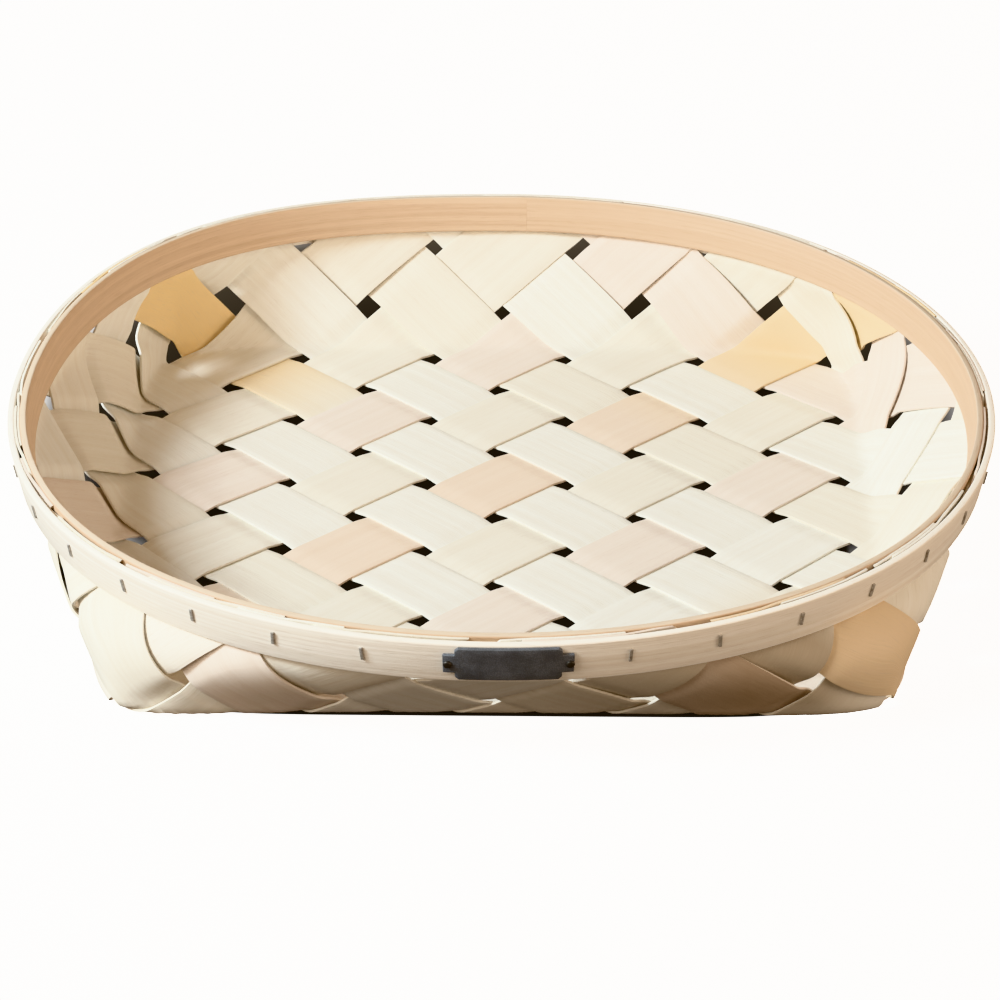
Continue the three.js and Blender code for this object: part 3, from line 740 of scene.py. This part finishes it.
label = new_block("leather_label_plate", (LABEL_LENGTH, LABEL_THICKNESS, LABEL_HEIGHT))
mesh = label.data
select_where(mesh, "edges", runs_along(mesh, 1))
bpy.ops.mesh.bevel(offset=LABEL_CHAMFER, segments=1, affect="EDGES")
bpy.ops.object.mode_set(mode="OBJECT")
for height in (-TONGUE_HEIGHT / 2, TONGUE_HEIGHT / 2):
    cut_across((0, 0, height), (0, 0, 1))
for way in (-1, 1):
    select_where(mesh, "polygons", lambda face: (
        face.normal.x * way > LINED_UP and abs(face.center.z) < TONGUE_HEIGHT / 2))
    bpy.ops.mesh.extrude_region_move(TRANSFORM_OT_translate={"value": (way * TONGUE_LENGTH, 0, 0)})
    bpy.ops.object.mode_set(mode="OBJECT")
for cut in range(1, LABEL_SEGMENTS):
    cut_across(((cut / LABEL_SEGMENTS - 0.5) * LABEL_LENGTH, 0, 0), (1, 0, 0))
soften(label, LABEL_EDGE, 3, FITTING_EDGE_ANGLE)
LABEL_MIDDLE = HOOP_SLANT - OUTER_HOOP_HEIGHT / 2 + LABEL_RISE
LABEL_BACK = HOOP_FACE + LABEL_GAP
label_turn = LABEL_SHIFT / (TOP_RADIUS + HOOP_FACE)
for vertex in mesh.vertices:
    x, y, z = vertex.co
    bearing = label_bearing + label_turn + x / (TOP_RADIUS + HOOP_FACE)
    vertex.co = rim_point(bearing, LABEL_MIDDLE + z, LABEL_BACK + LABEL_THICKNESS / 2 + y)
mesh.update()
bpy.ops.object.shade_smooth_by_angle(angle=FITTING_SMOOTH)


def charcoal_leather(name, base):
    """Dyed leather with a fine pebbled grain, a little worn and dusty."""
    material, shader, tree = finish(name)
    place = tree.node("TexCoord", output=3)
    pebbles = tree.node("TexVoronoi", {"feature": "DISTANCE_TO_EDGE"}, {"Vector": place, "Scale": 1500.0})
    grain = pebbles.band(0.0, 0.25)
    wear = tree.node("TexNoise", None, {"Vector": place, "Scale": 160.0, "Detail": 4.0}).band(0.40, 0.75)
    tone = wear.mixed(shade_of(base, 0.9), shade_of(base, 1.3))
    tone = (0.5 - 0.5 * grain).mixed(tone, shade_of(base, 0.5))
    feed(tone, shader.inputs["Base Color"])
    feed(0.52 + 0.2 * wear, shader.inputs["Roughness"])
    bump = tree.node("Bump", None, {"Strength": 0.35, "Distance": 0.0002, "Height": grain})
    feed(bump, shader.inputs["Normal"])
    return material


label.data.materials.append(charcoal_leather("label_leather", colour(LABEL_LEATHER)))
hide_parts("label_plate")
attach(label, "root")

# Label tacks: two small steel tacks with low domed heads and straight shanks.
# One is driven through each tongue of the label into the outer hoop.
TACK_SIDES = 32
TACK_HEAD_RADIUS = 0.0015
TACK_HEAD_HEIGHT = 0.0008
TACK_DOME = 0.85            # share of the head's height that is rounded
TACK_SHANK_RADIUS = 0.0006
TACK_SHANK = 0.0031
TACK_STEEL = "#4a4744"


def make_tack(name):
    """A tack at the origin with its head towards +Y: a disc with a rounded crown and a shank behind it."""
    bpy.ops.object.select_all(action="DESELECT")
    bpy.ops.mesh.primitive_cylinder_add(
        vertices=TACK_SIDES, radius=TACK_HEAD_RADIUS, depth=TACK_HEAD_HEIGHT,
        location=(0, TACK_HEAD_HEIGHT / 2, 0), rotation=(-math.pi / 2, 0, 0))
    tack = bpy.context.object
    tack.name = name
    bpy.ops.object.transform_apply(location=True, rotation=True, scale=True)
    mesh = tack.data
    select_where(mesh, "polygons", lambda face: face.normal.y > LINED_UP)
    bpy.ops.mesh.bevel(offset=TACK_HEAD_HEIGHT * TACK_DOME, segments=5, affect="EDGES")
    bpy.ops.object.mode_set(mode="OBJECT")
    select_where(mesh, "polygons", lambda face: face.normal.y < -LINED_UP)
    bpy.ops.mesh.inset(thickness=TACK_HEAD_RADIUS - TACK_SHANK_RADIUS)
    bpy.ops.mesh.extrude_region_move(TRANSFORM_OT_translate={"value": (0, -TACK_SHANK, 0)})
    bpy.ops.object.mode_set(mode="OBJECT")
    bpy.ops.object.shade_smooth_by_angle(angle=FITTING_SMOOTH)
    return tack


tack_steel = dark_wire("tack_steel", colour(TACK_STEEL))
for node in ("label_tack_left", "label_tack_right"):
    tack = make_tack("domed_" + node)
    bearing = bearing_of(node) + label_turn
    tack.data.transform(stand_on_rim(bearing, LABEL_MIDDLE, LABEL_BACK + LABEL_THICKNESS))
    tack.data.materials.append(tack_steel)
    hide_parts(node)
    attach(tack, "root")

# Floor: one pale matt sheet that the tray stands on, lit from within so that it stays an even white.
# A dark patch is painted under the base, where no light comes, and a soft shadow is painted behind the
# tray.
FLOOR_SIZE = 8.0
FLOOR_DROP = 0.0001             # room between the floor and the base
FLOOR_WHITE = "#f6f5f4"
FLOOR_GLOW = 5.0
# painted shade: the colour of the dark patch under the base and of the painted shadow's core
DARK = "#0d0b09"
UNDER_HALF = (0.128, 0.1343)    # half the width and depth of the painted dark patch under the base
UNDER_MIDDLE = -0.0077          # how far back its middle lies
UNDER_EDGE = (0.9, 1.0)         # and where it fades out, on a measure that is 1 at its edge
SQUARINGS = 3                   # times that a share is squared, for a square outline or a late fade
SHADOW_BACK = 0.092             # the painted soft shadow's middle lies this far back
SHADOW_DARK = 0.140             # it is dark up to this far from its middle
SHADOW_END = 0.190              # and ends this far from it
SHADOW_LIGHT = 0.0045           # share of the light, painted in, that reaches the floor inside it
LIGHT_REACH = 0.18              # at this distance from the tray's middle, and more farther out
SHADOW_WARM = "#f5e4cc"         # and its colour, which it has from the wood

bpy.ops.object.select_all(action="DESELECT")
bpy.ops.mesh.primitive_plane_add(size=FLOOR_SIZE, location=(0, 0, -FLOOR_DROP))
floor = bpy.context.object
floor.name = "floor"
bpy.ops.object.transform_apply(location=True, rotation=False, scale=False)
material, shader, tree = finish("floor_white_painted_shadow")
place = tree.node("TexCoord", output=3)
x, y = place.part(0), place.part(1)
# Painted shade: a dark patch under the base, where no light reaches the floor.
shares = [1 / UNDER_HALF[0] * x, 1 / UNDER_HALF[1] * (y - UNDER_MIDDLE)]
for _ in range(SQUARINGS):
    shares = [share * share for share in shares]
beside_painted_dark = (shares[0] + shares[1]).band(*UNDER_EDGE)
# Painted shadow behind the tray: dark near it, lighter farther out, and white past its end.
back = y - SHADOW_BACK
distance = tree.node("Math", {"operation": "SQRT"}, {0: x * x + back * back})
beside_painted_shadow = distance.band(SHADOW_DARK, SHADOW_END)
for _ in range(SQUARINGS):
    beside_painted_shadow = beside_painted_shadow * beside_painted_shadow
outward = 1 / LIGHT_REACH ** 2 * (x * x + y * y)
tone = (SHADOW_LIGHT * outward * outward).mixed(colour(DARK), colour(SHADOW_WARM))
tone = beside_painted_shadow.mixed(tone, colour(FLOOR_WHITE))
tone = beside_painted_dark.mixed(colour(DARK), tone)
feed(tone, shader.inputs["Base Color"])
feed(tone, shader.inputs["Emission Color"])
shader.inputs["Emission Strength"].default_value = FLOOR_GLOW
shader.inputs["Roughness"].default_value = 0.9
shader.inputs["Specular IOR Level"].default_value = 0.0
floor.data.materials.append(material)
material.cycles.emission_sampling = "NONE"
floor.visible_diffuse = False
floor.visible_glossy = False

# Camera: the photograph's view, through a long lens from the front and above.
# Its place, turn and lens are fitted to the gaps of the woven base.
CAMERA_ELEVATION = math.radians(28.216)
CAMERA_YAW = math.radians(-0.513)
CAMERA_ROLL = math.radians(0.16)
CAMERA_DISTANCE = 1.7361
CAMERA_RIGHT = -0.00047     # the tray's centre lies this far right of the middle of the view
CAMERA_UP = 0.00667         # and this far below it
CAMERA_LENS = 168.78
SENSOR_WIDTH = 36.0

forward = Vector((math.sin(CAMERA_YAW) * math.cos(CAMERA_ELEVATION),
                  math.cos(CAMERA_YAW) * math.cos(CAMERA_ELEVATION), -math.sin(CAMERA_ELEVATION)))
right = Vector((math.cos(CAMERA_YAW), -math.sin(CAMERA_YAW), 0))
up = right.cross(forward)
camera_data = bpy.data.cameras.new("photo_view")
camera_data.lens = CAMERA_LENS
camera_data.sensor_width = SENSOR_WIDTH
camera = bpy.data.objects.new("photo_view", camera_data)
bpy.context.collection.objects.link(camera)
turn = Matrix((right, up, -forward)).transposed().to_4x4() @ Matrix.Rotation(CAMERA_ROLL, 4, "Z")
place = RIM_CENTRE - forward * CAMERA_DISTANCE + right * CAMERA_RIGHT + up * CAMERA_UP
camera.matrix_world = Matrix.Translation(place) @ turn
bpy.context.scene.camera = camera

# Light: a soft cool lamp high on the left, and weaker warm ones low on the right and at the front left.
# The room is warm too, brightest just above the horizon and dark below.
LAMPS = (           # azimuth and elevation in degrees, size in metres, power in watts and colour
    ("key", 200, 37, 0.5, 47.5, (0.79, 0.94, 1.03)),
    ("fill", -15, 10, 0.9, 16.5, (1.0, 0.83, 0.66)),
    ("front", -134, 33, 0.9, 16.0, (1.0, 0.91, 0.78)),
)
LAMP_DISTANCE = 2.0
ROOM_SHADES = (     # from straight below, past the horizon at 0.5, to straight above
    (0.27, (0.06, 0.045, 0.034, 1.0)),
    (0.48, (0.62, 0.49, 0.38, 1.0)),
    (0.60, (0.74, 0.58, 0.44, 1.0)),
    (0.85, (0.27, 0.19, 0.12, 1.0)),
)

for name, azimuth, elevation, size, power, shade in LAMPS:
    lamp_data = bpy.data.lights.new(name, "AREA")
    lamp_data.shape = "SQUARE"
    lamp_data.size = size
    lamp_data.energy = power
    lamp_data.color = shade
    lamp = bpy.data.objects.new(name, lamp_data)
    bpy.context.collection.objects.link(lamp)
    level = math.cos(math.radians(elevation))
    way = Vector((level * math.cos(math.radians(azimuth)), level * math.sin(math.radians(azimuth)),
                  math.sin(math.radians(elevation))))
    turn = way.to_track_quat("Z", "Y").to_matrix().to_4x4()
    lamp.matrix_world = Matrix.Translation(LAMP_DISTANCE * way) @ turn
room = bpy.data.worlds.new("room")
room.use_nodes = True
tree = Value(room.node_tree)
height = tree.node("TexCoord", output=0).part(2)
shade = tree.node("ValToRGB", {"stops": ROOM_SHADES}, {"Fac": 0.5 + 0.5 * height})
feed(shade, room.node_tree.nodes["Background"].inputs["Color"])
bpy.context.scene.world = room
bpy.context.scene.view_settings.view_transform = "Khronos PBR Neutral"
